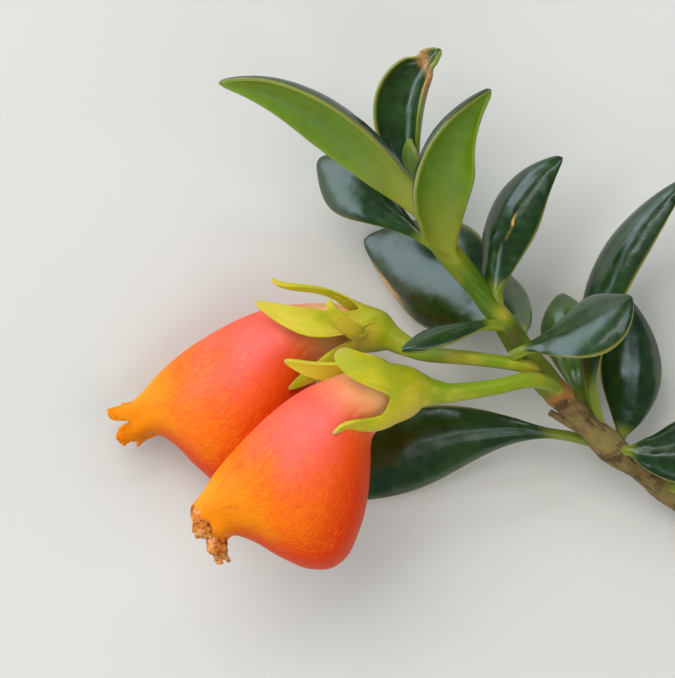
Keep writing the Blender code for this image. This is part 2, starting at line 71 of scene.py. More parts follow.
class Wire:
    """A number or vector inside a node tree, so that a shape or a colour can be written as a sum."""

    def __init__(self, tree, socket):
        self.tree, self.socket = tree, socket
        self.is_vector = socket.type in ("VECTOR", "RGBA")

    def run(self, kind, operation, values, output=0):
        node = self.tree.nodes.new(kind)
        node.operation = operation
        for socket, value in values:
            plug(self.tree, value, node.inputs[socket])
        return Wire(self.tree, node.outputs[output])

    def join(self, operation, *others):
        kind = "ShaderNodeVectorMath" if self.is_vector else "ShaderNodeMath"
        return self.run(kind, operation, list(enumerate((self, *others))))

    def __rsub__(self, other):
        return self.run("ShaderNodeMath", "SUBTRACT", [(0, other), (1, self)])

    def __mul__(self, other):
        other_is_vector = isinstance(other, Wire) and other.is_vector
        if self.is_vector and not other_is_vector:
            return self.run("ShaderNodeVectorMath", "SCALE", [(0, self), ("Scale", other)])
        if other_is_vector and not self.is_vector:
            return other * self
        return self.join("MULTIPLY", other)

    def dot(self, other):
        return self.run("ShaderNodeVectorMath", "DOT_PRODUCT", [(0, self), (1, other)], "Value")

    __add__ = __radd__ = joins("ADD")
    __sub__, __truediv__, __pow__ = joins("SUBTRACT"), joins("DIVIDE"), joins("POWER")
    sin, cos, size, sign = joins("SINE"), joins("COSINE"), joins("ABSOLUTE"), joins("SIGN")
    least, most, exp = joins("MINIMUM"), joins("MAXIMUM"), joins("EXPONENT")
    cross, unit = joins("CROSS_PRODUCT"), joins("NORMALIZE")

    def hump(self, width):
        """1 where the number is 0, falling off smoothly on both sides."""
        return (self / width * (self / width * -1.0)).exp()

    def rounded(self, fullness=2.0):
        """Rises from 0 to 1 while the number does, as the side of a rounded end."""
        return (1.0 - (1.0 - self.least(1.0)) ** fullness).most(0.0) ** 0.5

    def ramp(self, low, high, start=0.0, end=1.0):
        """Goes smoothly from start to end while the number goes from low to high."""
        node = self.tree.nodes.new("ShaderNodeMapRange")
        node.interpolation_type = "SMOOTHSTEP"
        for place, value in enumerate((self, low, high, start, end)):
            plug(self.tree, value, node.inputs[place])
        return Wire(self.tree, node.outputs["Result"])


def plug(tree, value, socket):
    if isinstance(value, Wire):
        tree.links.new(value.socket, socket)
    else:
        socket.default_value = value


class Network:
    """A node tree under construction, with the nodes that shapes and colours share."""

    def node(self, kind, inputs=(), output=0, **settings):
        made = self.tree.nodes.new(kind)
        for key, value in settings.items():
            setattr(made, key, value)
        for socket, value in dict(inputs).items():
            plug(self.tree, value, made.inputs[socket])
        return Wire(self.tree, made.outputs[output])

    def vector(self, x, y, z=0.0):
        return self.node("ShaderNodeCombineXYZ", {0: x, 1: y, 2: z})

    def noise(self, where, scale, detail=3.0, rough=0.5):
        """Smooth random numbers from 0 to 1, mostly near the middle."""
        inputs = {"Vector": where, "Scale": scale, "Detail": detail, "Roughness": rough}
        return self.node("ShaderNodeTexNoise", inputs)


class Grower(Network):
    """A Geometry Nodes tree. Its inputs have names, and read as wires."""

    def __init__(self, name, floats=(), vectors=(), counts=(), takes_mesh=False):
        self.tree = bpy.data.node_groups.new(name, "GeometryNodeTree")
        face = self.tree.interface
        face.new_socket("Geometry", in_out="OUTPUT", socket_type="NodeSocketGeometry")
        if takes_mesh:
            face.new_socket("Geometry", in_out="INPUT", socket_type="NodeSocketGeometry")
        for names, kind in ((floats, "Float"), (vectors, "Vector"), (counts, "Int")):
            for item in names:
                face.new_socket(item, in_out="INPUT", socket_type="NodeSocket" + kind)
        face.new_socket("Material", in_out="INPUT", socket_type="NodeSocketMaterial")
        self.entry = self.tree.nodes.new("NodeGroupInput")

    def __getitem__(self, name):
        return Wire(self.tree, self.entry.outputs[name])

    def sheet(self, along, around):
        """A grid of points, and two numbers on it that go from 0 to 1: along it and round it."""
        size = {"Size X": 1.0, "Size Y": 1.0, "Vertices X": along, "Vertices Y": around}
        grid = self.node("GeometryNodeMeshGrid", size)
        place = {0: self.node("GeometryNodeInputPosition")}
        x, y = (self.node("ShaderNodeSeparateXYZ", place, axis) for axis in ("X", "Y"))
        return grid, x + 0.5, y + 0.5

    def finish(self, mesh, place, **numbers):
        """Keeps numbers for the material, moves the points, and closes the sheet at its seam and ends."""
        for name, value in numbers.items():
            inputs = {"Geometry": mesh, "Name": name, "Value": value}
            mesh = self.node("GeometryNodeStoreNamedAttribute", inputs)
        mesh = self.node("GeometryNodeSetPosition", {"Geometry": mesh, "Position": place})
        mesh = self.node("GeometryNodeMergeByDistance", {"Geometry": mesh, "Distance": WELD})
        mesh = self.node("GeometryNodeSetShadeSmooth", {"Geometry": mesh})
        mesh = self.node("GeometryNodeSetMaterial", {"Geometry": mesh, "Material": self["Material"]})
        end = self.tree.nodes.new("NodeGroupOutput")
        self.tree.links.new(mesh.socket, end.inputs[0])
        return self.tree


def lift_clear(mesh):
    """Bends whatever would sink into the table up over it. It keeps the order of heights."""
    for vert in mesh.vertices:
        if vert.co.z < TABLE_ROOM:
            vert.co.z = TABLE_ROOM * math.exp((vert.co.z - TABLE_ROOM) / TABLE_ROOM)


def finish_modifiers(piece):
    """Turns what a piece's modifiers make into its own plain mesh."""
    graph = bpy.context.evaluated_depsgraph_get()
    done = bpy.data.meshes.new_from_object(
        piece.evaluated_get(graph), preserve_all_data_layers=True, depsgraph=graph
    )
    piece.modifiers.clear()
    piece.data = done


def grow(name, tree, start=None, place=None, **values):
    """Runs a tree once and keeps what it makes as a plain closed mesh with its faces outward."""
    made = bpy.data.objects.new(name, start or bpy.data.meshes.new(name))
    scene.collection.objects.link(made)
    shape = made.modifiers.new("shape", "NODES")
    shape.node_group = tree
    for item in tree.interface.items_tree:
        key = item.name.lower().replace(" ", "_")
        if item.in_out == "INPUT" and key in values:
            shape[item.identifier] = values[key]
    finish_modifiers(made)
    solid = bmesh.new()
    solid.from_mesh(made.data)
    bmesh.ops.recalc_face_normals(solid, faces=solid.faces)
    solid.to_mesh(made.data)
    solid.free()
    if place:
        made.data.transform(place)
    lift_clear(made.data)
    return made


def line_mesh(points):
    """A chain of points with a radius on each, for a tree to follow."""
    mesh = bpy.data.meshes.new("line")
    links = [(i, i + 1) for i in range(len(points) - 1)]
    mesh.from_pydata([spot(x, y, z) for x, y, z, _ in points], links, [])
    radius = mesh.attributes.new("radius", "FLOAT", "POINT")
    radius.data.foreach_set("value", [point[3] * MM for point in points])
    return mesh


LINE_STEPS = 16
END_FULLNESS = 2.6
RIB_DEPTH = 0.03
STREAK_SCALE = 2.2
STREAK_STRETCH = 3.0


def tube_tree():
    """A round stem that follows a line. Its skin is uneven, and its ends are closed and rounded."""
    tree = Grower(
        "stem", floats=("Lump", "Lump Scale", "Streak", "Ribs", "Soft End"),
        counts=("Steps", "Sides"), takes_mesh=True,
    )
    line = tree.node("GeometryNodeMeshToCurve", {"Mesh": tree["Geometry"]})
    line = tree.node("GeometryNodeCurveSplineType", {"Curve": line}, spline_type="CATMULL_ROM")
    line = tree.node("GeometryNodeSetSplineResolution", {"Geometry": line, "Resolution": LINE_STEPS})
    grid, along, around = tree.sheet(tree["Steps"], tree["Sides"])
    width = tree.node("GeometryNodeInputNamedAttribute", {"Name": "radius"}, data_type="FLOAT")
    sample = tree.tree.nodes.new("GeometryNodeSampleCurve")
    sample.mode, sample.data_type = "FACTOR", "FLOAT"
    for socket, value in (("Curves", line), ("Value", width), ("Factor", along)):
        plug(tree.tree, value, sample.inputs[socket])
    radius, place, ahead, across = (
        Wire(tree.tree, sample.outputs[name]) for name in ("Value", "Position", "Tangent", "Normal")
    )
    turn = around * FULL_TURN
    ends = (1.0 - (along * 2.0 - 1.0).size()) / tree["Soft End"]
    other = ahead.cross(across)
    out = across * turn.cos() + other * turn.sin()
    rough = (tree.noise(place + out * radius, tree["Lump Scale"], 4.0) - 0.5) * tree["Lump"]
    lengthwise = tree.vector(turn.cos(), turn.sin(), along) * STREAK_STRETCH
    lengthwise = tree.noise(lengthwise, STREAK_SCALE) - 0.5
    ribs = (turn * tree["Ribs"]).cos() * RIB_DEPTH
    reach = radius * (ribs + 1.0) + rough + lengthwise * tree["Streak"]
    reach = reach * ends.rounded(END_FULLNESS)
    return tree.finish(grid, place + out * reach, along=along, around=around)


class Paint(Network):
    """A material: wires for patterns and colours, and one shader at the end."""

    def __init__(self, name, **fixed):
        self.material = bpy.data.materials.new(name)
        self.material.use_nodes = True
        self.tree = self.material.node_tree
        self.shader = self.tree.nodes["Principled BSDF"]
        for key, value in fixed.items():
            self.shader.inputs[key.replace("_", " ")].default_value = value
        self.place = self.node("ShaderNodeTexCoord", output="Object")

    def read(self, name):
        return self.node("ShaderNodeAttribute", output="Fac", attribute_name=name)

    def cells(self, where, scale):
        """Distance from the nearest of many scattered points."""
        return self.node("ShaderNodeTexVoronoi", {"Vector": where, "Scale": scale}, "Distance")

    def mix(self, share, low, high):
        """The low colour where the share is 0, and the high one where it is 1."""
        low, high = ((*c, 1.0) if isinstance(c, tuple) else c for c in (low, high))
        return self.node("ShaderNodeMix", {0: share, 6: low, 7: high}, 2, data_type="RGBA")

    def bump(self, height, depth, strength, under=None):
        """Fine relief of that depth in metres, on top of any relief that lies under it."""
        inputs = {"Height": height, "Distance": depth, "Strength": strength}
        if under:
            inputs["Normal"] = under
        return self.node("ShaderNodeBump", inputs, "Normal")

    def set(self, **wires):
        for key, value in wires.items():
            plug(self.tree, value, self.shader.inputs[key.replace("_", " ")])
        return self.material


BARK_DEEP, BARK_LIGHT = (0.085, 0.048, 0.016), (0.25, 0.165, 0.060)
BARK_MOSSY, BARK_DIRTY = (0.24, 0.19, 0.055), (0.050, 0.030, 0.010)
BARK_SCAR, BARK_RUSTY = (0.040, 0.024, 0.009), (0.42, 0.16, 0.03)
BARK_CRUMB, CUT_WOOD = (0.36, 0.25, 0.13), (0.50, 0.46, 0.28)
BARK_YOUNG = (0.15, 0.19, 0.012)
RUSTY_AT, YOUNG_FROM, YOUNG_FULL = 0.80, 0.80, 0.87


def bark_material():
    """Brown fibres with blotches, scars and crumbs: pale at the cut end, green near the shoot."""
    paint = Paint("bark", Specular_IOR_Level=0.35)
    along, around = paint.read("along"), paint.read("around") * FULL_TURN
    round_it = paint.vector(around.cos(), around.sin(), along * 2.5)
    fibres = paint.noise(round_it, 9.0, 6.0, 0.65)
    blotch = paint.noise(paint.place, 420.0, 3.0)
    crumbs = paint.cells(paint.place, 2600.0)
    ragged = blotch - 0.5
    brown = paint.mix(fibres.ramp(0.32, 0.60), BARK_DEEP, BARK_LIGHT)
    brown = paint.mix(blotch.ramp(0.46, 0.62) * 0.80, brown, BARK_MOSSY)
    brown = paint.mix(blotch.ramp(0.44, 0.36) * 0.75, brown, BARK_DIRTY)
    scars = (along * 27.0 + (fibres - 0.5) * 2.5 + ragged * 5.0).sin().ramp(0.95, 1.0)
    brown = paint.mix(scars * 0.40, brown, BARK_SCAR)
    brown = paint.mix((along - RUSTY_AT + ragged * 0.2).hump(0.03) * 0.7, brown, BARK_RUSTY)
    brown = paint.mix(crumbs.ramp(0.0, 0.22, 0.55, 0.0), brown, BARK_CRUMB)
    brown = paint.mix((along + ragged * 0.1).ramp(YOUNG_FROM, YOUNG_FULL) * 0.85, brown, BARK_YOUNG)
    brown = paint.mix(along.ramp(0.0, 0.012, 0.9, 0.0), brown, CUT_WOOD)
    skin = paint.bump(fibres - scars * 0.3, 0.00015, 0.7)
    skin = paint.bump(crumbs.ramp(0.0, 0.3, 1.0, 0.0), 0.00008, 0.6, skin)
    return paint.set(Base_Color=brown, Roughness=fibres.ramp(0.3, 0.7, 0.85, 0.55), Normal=skin)


TUBE = tube_tree()
BARK = bark_material()
woody = grow(
    "woody_stem_bark", TUBE, line_mesh(WOODY_PATH), material=BARK, steps=260, sides=73,
    lump=0.0003, lump_scale=900.0, streak=0.0002, ribs=0.0, soft_end=0.02,
)
old_stalk = grow(
    "old_flower_stalk", TUBE, line_mesh(OLD_STALK_PATH), material=BARK, steps=60, sides=33,
    lump=0.0001, lump_scale=1500.0, streak=0.0001, ribs=0.0, soft_end=0.06,
)
for piece in (woody, old_stalk):
    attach(piece, "root")
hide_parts("woody_stem")

# Green shoot.
# The young end of the same stem: smooth, juicy and a little ribbed, yellow green, with a swollen
# joint where each pair of leaves grows.

SHOOT_PATH = [
    (19.2, -2.2, 11.9, 1.1), (18.2, -0.8, 12.2, 1.25), (16.4, 1.9, 12.5, 1.15),
    (13.6, 5.6, 12.9, 1.1), (10.9, 8.9, 13.2, 1.25), (9.3, 11.4, 13.4, 0.9), (8.4, 13.6, 13.5, 0.5),
]
SHOOT_DEEP, SHOOT_LIGHT, SHOOT_WARM = (0.045, 0.105, 0.002), (0.080, 0.150, 0.004), (0.17, 0.19, 0.008)
# Marks as place, reach and colour: olive where the tip leaves join, partly a painted yellow highlight,
# yellow and brown at the old node.
SHOOT_MARKS = [
    ((11.3, 8.6, 14.4), 2.0, (0.24, 0.23, 0.006)),
    ((16.7, 2.6, 13.7), 1.0, (0.44, 0.38, 0.020)),
    ((17.5, 0.2, 13.4), 1.0, (0.085, 0.050, 0.010)),
]


def shoot_material():
    """Smooth juicy green skin: deep and light streaks, warmer patches, and the marks."""
    paint = Paint(
        "shoot_green", Specular_IOR_Level=0.45, Subsurface_Weight=0.12, Subsurface_Scale=0.8 * MM,
        Subsurface_Radius=(0.6, 1.0, 0.15),
    )
    along, around = paint.read("along"), paint.read("around") * FULL_TURN
    streaks = paint.noise(paint.vector(around.cos(), around.sin(), along * 2.0), 5.0, 4.0)
    patches = paint.noise(paint.place, 260.0, 2.0)
    green = paint.mix(streaks.ramp(0.36, 0.64), SHOOT_DEEP, SHOOT_LIGHT)
    green = paint.mix(patches.ramp(0.52, 0.72) * 0.8, green, SHOOT_WARM)
    for middle, reach, colour in SHOOT_MARKS:
        away = paint.place - spot(*middle)
        near = (away.dot(away) * (-1.0 / (reach * MM) ** 2)).exp()
        green = paint.mix(near * streaks.ramp(0.3, 0.6, 1.0, 0.75), green, colour)
    grain = paint.cells(paint.place, 9000.0)
    skin = paint.bump(grain, 0.00002, 0.5)
    skin = paint.bump(streaks, 0.0001, 0.4, skin)
    return paint.set(Base_Color=green, Roughness=patches.ramp(0.3, 0.7, 0.34, 0.48), Normal=skin)


shoot = grow(
    "green_shoot_skin", TUBE, line_mesh(SHOOT_PATH), material=shoot_material(), steps=180, sides=65,
    lump=0.00015, lump_scale=500.0, streak=0.00012, ribs=4.0, soft_end=0.03,
)
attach(shoot, "root")
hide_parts("green_shoot")

# Leaves.
# Thick waxy blades on short round stalks, in pairs along the stem. The upper side is dark and very
# glossy with a sunken midrib, the under side is light olive, and the margin is pale, partly a painted
# highlight, and bends down.
# Each grows from its root to its tip along an arch and faces its own way.

LEAF_THICK, LEAF_GROOVE, LEAF_WAVE, LEAF_UNEVEN, RIB_REACH = 0.66, 0.10, 0.12, 0.22, 0.32
LEAF_STALK_RADIUS, LEAF_TIP_RADIUS = 0.6, 0.12
# Each leaf's root, tip, and how far the middle bows off the straight line; the way its upper side
# faces; its width; how far the margins bend down, in degrees, or up below 0; where it is widest; the
# share that is stalk; and how light its green is. Some margins roll in further towards the tip, and
# a pinch narrows one. Scorch and glint: a brown dry tip at 1, a painted gold glint, a painted
# reflection, along the rim at 0.5, and a painted gold glint streak across the blade at 0.3.
LEAVES = {
    "leaf_tip_left": dict(
        root=(10.3, 9.0, 13.3), tip=(-11.8, 25.4, 15.8), bow=(1.5, 4.6, 1.6), face=(0.58, 0.58, -0.57),
        width=8.6, bend=62, widest=0.43, stalk=0.08, tone=0.5, roll_in=0.3,
    ),
    "leaf_tip_right": dict(
        root=(12.5, 6.8, 13.3), tip=(15.2, 24.7, 18.0), bow=(-4.4, 1.0, 2.0), face=(-0.5, 0.36, -0.79),
        width=8.8, bend=62, widest=0.47, stalk=0.08, tone=0.35, roll_in=0.9,
    ),
    "leaf_tip_inner": dict(
        root=(9.0, 11.8, 12.6), tip=(10.3, 29.0, 12.2), bow=(-2.7, 1.2, -0.6), face=(-0.51, 0.2, 0.83),
        width=7.6, bend=-80, widest=0.55, stalk=0.12, tone=0.6, scorch_and_glint=1.0, pinch=0.3,
    ),
    "leaf_tip_bud": dict(
        root=(8.9, 13.0, 13.6), tip=(7.2, 20.0, 14.2), bow=(-0.3, 0.3, 0.2), face=(0.7, 0.3, -0.6),
        width=2.4, bend=40, widest=0.55, stalk=0.1, tone=1.0,
    ),
    "leaf_left_upper": dict(
        root=(11.2, 8.2, 12.6), tip=(-1.8, 18.1, 6.0), bow=(-1.4, 0.8, 1.4), face=(-0.7, 0.45, 0.55),
        width=7.0, bend=40, widest=0.66, stalk=0.12, tone=0.4,
    ),
    "leaf_left_lower": dict(
        root=(17.2, 0.8, 11.6), tip=(2.8, 10.1, 0.05), bow=(0.9, 0.4, 1.6), face=(-0.58, 0.12, 0.81),
        width=12.2, bend=42, widest=0.53, stalk=0.12, tone=0.45, scorch_and_glint=0.5,
    ),
    "leaf_right_upper": dict(
        root=(16.4, 1.9, 12.6), tip=(22.5, 18.1, 12.6), bow=(-2.9, 1.4, 0.9), face=(-0.66, -0.01, 0.75),
        width=7.0, bend=45, widest=0.47, stalk=0.12, tone=0.2, scorch_and_glint=0.3,
    ),
    "leaf_behind_shoot": dict(
        root=(18.5, -0.8, 11.5), tip=(17.1, 6.6, 3.2), bow=(0.3, 0.8, 0.8), face=(0.38, 0.83, 0.4),
        width=4.1, bend=40, widest=0.48, stalk=0.14, tone=0.8,
    ),
    "leaf_small_front": dict(
        root=(16.7, 1.3, 13.0), tip=(6.4, -1.2, 16.4), bow=(-0.1, 0.9, 0.5), face=(-0.14, 0.86, 0.49),
        width=3.9, bend=35, widest=0.63, stalk=0.14, tone=0.5,
    ),
    "leaf_front_right": dict(
        root=(17.4, -1.7, 13.7), tip=(29.2, 4.1, 18.8), bow=(-0.4, -0.2, 1.7), face=(-0.27, 0.68, 0.68),
        width=8.8, bend=35, widest=0.65, stalk=0.10, tone=0.3,
    ),
    "leaf_right_long": dict(
        root=(26.6, -9.6, 8.9), tip=(35.2, 16.1, 9.0), bow=(-4.7, 1.7, 1.0), face=(-0.75, 0.18, 0.63),
        width=6.7, bend=45, widest=0.55, stalk=0.12, tone=0.1,
    ),
    "leaf_back_middle": dict(
        root=(25.8, -9.0, 7.7), tip=(22.8, 4.4, 1.0), bow=(-1.3, 2.4, 1.4), face=(-0.37, 0.64, 0.67),
        width=5.5, bend=42, widest=0.57, stalk=0.12, tone=1.0,
    ),
    "leaf_back_right": dict(
        root=(28.0, -11.2, 7.2), tip=(29.3, 4.2, 2.2), bow=(1.2, -0.4, 1.4), face=(0.17, 0.33, 0.93),
        width=6.8, bend=42, widest=0.53, stalk=0.1, tone=0.5,
    ),
    "leaf_lower_left": dict(
        root=(27.0, -10.8, 7.4), tip=(-1.5, -16.2, 0.15), bow=(0.4, 3.7, 1.4), face=(-0.09, -0.26, 0.96),
        width=8.8, bend=35, widest=0.67, stalk=0.16, tone=0.0,
    ),
    "leaf_lower_right": dict(
        root=(27.8, -11.0, 8.2), tip=(41.2, -8.6, 9.8), bow=(-0.4, -1.2, 1.0), face=(-0.19, 0.38, 0.9),
        width=7.8, bend=40, widest=0.56, stalk=0.12, tone=0.1,
    ),
    "leaf_low_young": dict(
        root=(33.0, -15.0, 4.6), tip=(41.0, -13.6, 6.8), bow=(0.2, -0.5, 0.6), face=(0.0, 0.3, 0.95),
        width=3.6, bend=30, widest=0.58, stalk=0.16, tone=1.0,
    ),
}


OUTLINE_FULLNESS = 0.78
FLAT_FROM = 0.2
TIP_ROUND, ROOT_ROUND = 0.02, 0.01
PINCH_AT, PINCH_REACH = 0.87, 0.035
EDGE_SHARPNESS = 0.58
WAVES = 9.0


def blade_tree():
    """A fleshy blade with a short round stalk, along an arch from its root to its tip."""
    tree = Grower(
        "leaf_blade",
        floats=("Width", "Bend", "Power", "Stalk", "Stalk Radius", "Tip Radius", "Thick", "Groove",
                "Wave", "Seed", "Tone", "Scorch_And_Glint", "Roll In", "Pinch"),
        vectors=("Root", "Middle", "Tip", "Face"), counts=("Steps", "Sides"),
    )
    grid, g, around = tree.sheet(tree["Steps"], tree["Sides"])
    t = 0.5 - (g * math.pi).cos() * 0.5
    rest = 1.0 - t
    root, middle, tip, face = (tree[key] for key in ("Root", "Middle", "Tip", "Face"))
    point = root * (rest * rest) + middle * (rest * t * 2.0) + tip * (t * t)
    ahead = ((middle - root) * rest + (tip - middle) * t).unit()
    up = (face - ahead * face.dot(ahead)).unit()
    side = ahead.cross(up)

    stalk = tree["Stalk"]
    blade = ((t - stalk) / (1.0 - stalk)).most(0.0).least(1.0)
    outline = ((blade ** tree["Power"]) * math.pi).sin().most(0.0) ** OUTLINE_FULLNESS
    flat = (blade / FLAT_FROM).least(1.0)
    end, start = (rest / TIP_ROUND).rounded(), (t / ROOT_ROUND).rounded()
    least = tree["Stalk Radius"] * rest + tree["Tip Radius"] * t
    nick = 1.0 - (blade - PINCH_AT).hump(PINCH_REACH) * tree["Pinch"]
    half = ((tree["Width"] * outline * nick * 0.5) ** 2.0 + least ** 2.0) ** 0.5 * end * start

    turn = around * FULL_TURN
    q, s = turn.cos(), turn.sin()
    bend = tree["Bend"]
    curl = (bend * flat * (blade * blade * tree["Roll In"] + 1.0)).size().most(0.01)
    curl = bend.sign() * curl
    lean = curl * q
    wave = (t * WAVES + tree["Seed"]).sin() * tree["Wave"] * q * q * flat
    middle_line = point + side * (half * lean.sin() / curl) - up * (half * (1.0 - lean.cos()) / curl)
    out = up * lean.cos() + side * lean.sin()
    height = (tree["Stalk Radius"] * (1.0 - flat) + tree["Thick"] * 0.5 * flat) * end * start
    height = height * s.sign() * s.size() ** (1.0 - flat * EDGE_SHARPNESS)
    rib = (q * half).hump(RIB_REACH * MM) * flat * (1.0 - t * 0.7)
    height = height - rib * tree["Groove"] * end
    unevenness = tree.noise(point + side * (half * q) + face * tree["Seed"], 260.0, 1.5) - 0.5
    unevenness = unevenness * (LEAF_UNEVEN * MM) * flat * end
    place = middle_line + up * (wave + unevenness) + out * height
    marks = dict(tone=tree["Tone"], scorch_and_glint=tree["Scorch_And_Glint"])
    return tree.finish(grid, place, along=blade, across=q, upper=s, **marks)


def arch(spec):
    """The three points that a blade's arch is drawn from, in the shared frame."""
    root, tip, bow = (Vector(spec[key]) for key in ("root", "tip", "bow"))
    return {"root": spot(*root), "middle": spot(*((root + tip) / 2 + 2 * bow)), "tip": spot(*tip)}


WAX_DEEP, WAX_LIGHT, WAX_CLOUD = (0.005, 0.024, 0.002), (0.010, 0.040, 0.003), (0.018, 0.062, 0.003)
WAX_YOUNG, WAX_YOUNG_LIGHT = (0.050, 0.12, 0.004), (0.085, 0.17, 0.006)
# The edge colours here and two rows down: the margin's pale tint, partly a painted highlight.
WAX_RIB, WAX_EDGE_AND_GLINT, WAX_STALK = (0.030, 0.085, 0.006), (0.26, 0.24, 0.03), (0.20, 0.25, 0.01)
UNDER_DEEP, UNDER_LIGHT, UNDER_CLOUD = (0.100, 0.200, 0.0), (0.125, 0.235, 0.001), (0.155, 0.235, 0.001)
UNDER_ROOT, UNDER_RIB, UNDER_EDGE_AND_GLINT = (0.30, 0.27, 0.006), (0.20, 0.28, 0.01), (0.24, 0.30, 0.02)
# The last colour in this row is a painted gold glint, a painted reflection of warm light.
BURNT, BURNT_LIGHT, PAINTED_GOLD_GLINT = (0.16, 0.05, 0.004), (0.42, 0.22, 0.05), (0.60, 0.34, 0.10)


def leaf_material():
    """Glossy dark wax above, light olive below, a midrib, brown dry tips, painted gold glints, and a pale
    margin that is partly painted highlight.
    """
    paint = Paint("leaf_skin", Specular_IOR_Level=0.88)
    along, across, upper = paint.read("along"), paint.read("across"), paint.read("upper")
    tone, scorch_and_glint = paint.read("tone"), paint.read("scorch_and_glint")
    top = upper.ramp(-0.05, 0.12)
    # The margin band: its pale colour is partly the margin's tint, partly a painted highlight on the
    # rounded edge.
    margin_and_glint = across.size().ramp(0.90, 1.0)
    rib = across.hump(0.035)
    mottle = paint.noise(paint.place, 900.0, 4.0)
    cloud = paint.noise(paint.place, 170.0, 2.0)
    fine = paint.cells(paint.place, 5200.0)

    dark = paint.mix(mottle.ramp(0.35, 0.7), WAX_DEEP, WAX_LIGHT)
    dark = paint.mix(cloud.ramp(0.45, 0.75) * 0.6, dark, WAX_CLOUD)
    young = paint.mix(mottle.ramp(0.35, 0.7), WAX_YOUNG, WAX_YOUNG_LIGHT)
    dark = paint.mix(tone.ramp(0.5, 1.0) * 0.85, dark, young)
    dark = paint.mix(rib * 0.22, dark, WAX_RIB)
    dark = paint.mix(margin_and_glint * 0.8, dark, WAX_EDGE_AND_GLINT)
    dark = paint.mix(along.ramp(0.12, 0.0) * 0.85, dark, WAX_STALK)

    pale = paint.mix(mottle.ramp(0.3, 0.7), UNDER_DEEP, UNDER_LIGHT)
    pale = paint.mix(cloud.ramp(0.40, 0.70) * 0.5, pale, UNDER_CLOUD)
    pale = paint.mix(along.ramp(0.40, 0.0) * 0.6, pale, UNDER_ROOT)
    pale = paint.mix(rib * 0.25, pale, UNDER_RIB)
    pale = paint.mix(margin_and_glint * 0.3, pale, UNDER_EDGE_AND_GLINT)

    green = paint.mix(top, pale, dark)
    jagged = paint.noise(paint.place, 480.0, 4.0, 0.6) - 0.5
    crack = (along + across * 0.05 - 0.86 + jagged * 0.10).hump(0.040)
    side = (along - 0.74 + jagged * 0.2).hump(0.10) * across.ramp(0.35, 0.8)
    burn = (crack + side).least(1.0) * scorch_and_glint.ramp(0.5, 1.0)
    # Painted highlight: a soft gold glint streak across the blade, a painted reflection of warm light.
    streak = (across - 0.30 + jagged * 0.22).hump(0.05) * (along - 0.46 + jagged * 0.3).hump(0.10)
    streak = streak.ramp(0.10, 0.90) * fine.ramp(0.1, 0.5)
    streak = streak * scorch_and_glint.ramp(0.1, 0.3) * scorch_and_glint.ramp(0.42, 0.36)
    # Painted highlight: a gold glint along one margin near the tip, a painted reflection.
    rim = (along - 0.80 + jagged * 0.1).hump(0.10) * (across + jagged * 0.1).ramp(-0.66, -0.82)
    rim = rim * scorch_and_glint.ramp(0.42, 0.48) * scorch_and_glint.ramp(0.7, 0.6)
    brown = paint.mix(fine.ramp(0.2, 0.6), BURNT, BURNT_LIGHT)
    green = paint.mix(burn, green, brown)
    # Lays the painted gold glints over the green.
    green = paint.mix(streak + rim, green, PAINTED_GOLD_GLINT)
    shine = mottle.ramp(0.3, 0.7, 0.20, 0.28)
    dull = mottle.ramp(0.3, 0.7, 0.42, 0.52)
    rough = top * shine + (1.0 - top) * dull + burn * 0.2
    skin = paint.bump(fine.ramp(0.0, 0.5), 0.01 * MM, 0.5)
    skin = paint.bump(mottle, 0.06 * MM, 0.4, skin)
    skin = paint.bump(cloud, 0.9 * MM, 0.35, skin)
    return paint.set(Base_Color=green, Roughness=rough, Normal=skin)


LEAF_TREE = blade_tree()
LEAF_SKIN = leaf_material()
YOUNG_LEAVES = ("leaf_tip_bud", "leaf_low_young")
for number, (name, spec) in enumerate(LEAVES.items()):
    marks = {key: spec.get(key, 0.0) for key in ("tone", "scorch_and_glint", "roll_in", "pinch")}
    blade = grow(
        name + "_blade", LEAF_TREE, material=LEAF_SKIN, **arch(spec), **marks, face=spec["face"],
        width=spec["width"] * MM, bend=math.radians(spec["bend"]), stalk=spec["stalk"],
        power=math.log(0.5) / math.log(spec["widest"]), stalk_radius=LEAF_STALK_RADIUS * MM,
        tip_radius=LEAF_TIP_RADIUS * MM, thick=LEAF_THICK * MM, groove=LEAF_GROOVE * MM,
        wave=LEAF_WAVE * MM, seed=float(number), steps=110, sides=65,
    )
    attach(blade, "root")
    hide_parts(name)
    "young_green" if name in YOUNG_LEAVES else "leaf_green"

# Flower pouches.
# Each bloom is one hollow skin: a narrow tube at the cup, a belly that swells downward, a pinched
# mouth and five small lobes. It is satin orange, coral on the back with a painted pink sheen there,
# and yellow towards the mouth.
# The front bloom is going over, so its lobes are dry, brown and crumpled, and hang down.

# Ribs from the cup to the mouth: back (along, up), belly (along, up), half the breadth.
POUCH_RIBS = [
    ((-0.6, 2.1), (0.3, -0.5), 1.2), ((0.7, 3.2), (2.0, -0.7), 1.9), ((2.6, 4.1), (3.8, -1.2), 2.4),
    ((4.8, 4.8), (5.5, -1.6), 3.3), ((7.2, 5.3), (7.4, -4.0), 4.3), ((9.6, 5.5), (9.6, -6.7), 5.0),
    ((12.2, 5.3), (12.2, -8.9), 5.4), ((14.8, 4.9), (14.9, -10.2), 5.4), ((17.2, 4.4), (17.3, -9.4), 4.9),
    ((19.3, 4.0), (19.2, -7.0), 4.0), ((21.0, 3.6), (20.7, -4.0), 3.1), ((22.4, 3.1), (22.0, -2.4), 2.5),
    ((23.6, 2.7), (23.0, -2.2), 2.3),
]
PETAL_WALL = 0.4
LOBES = 5
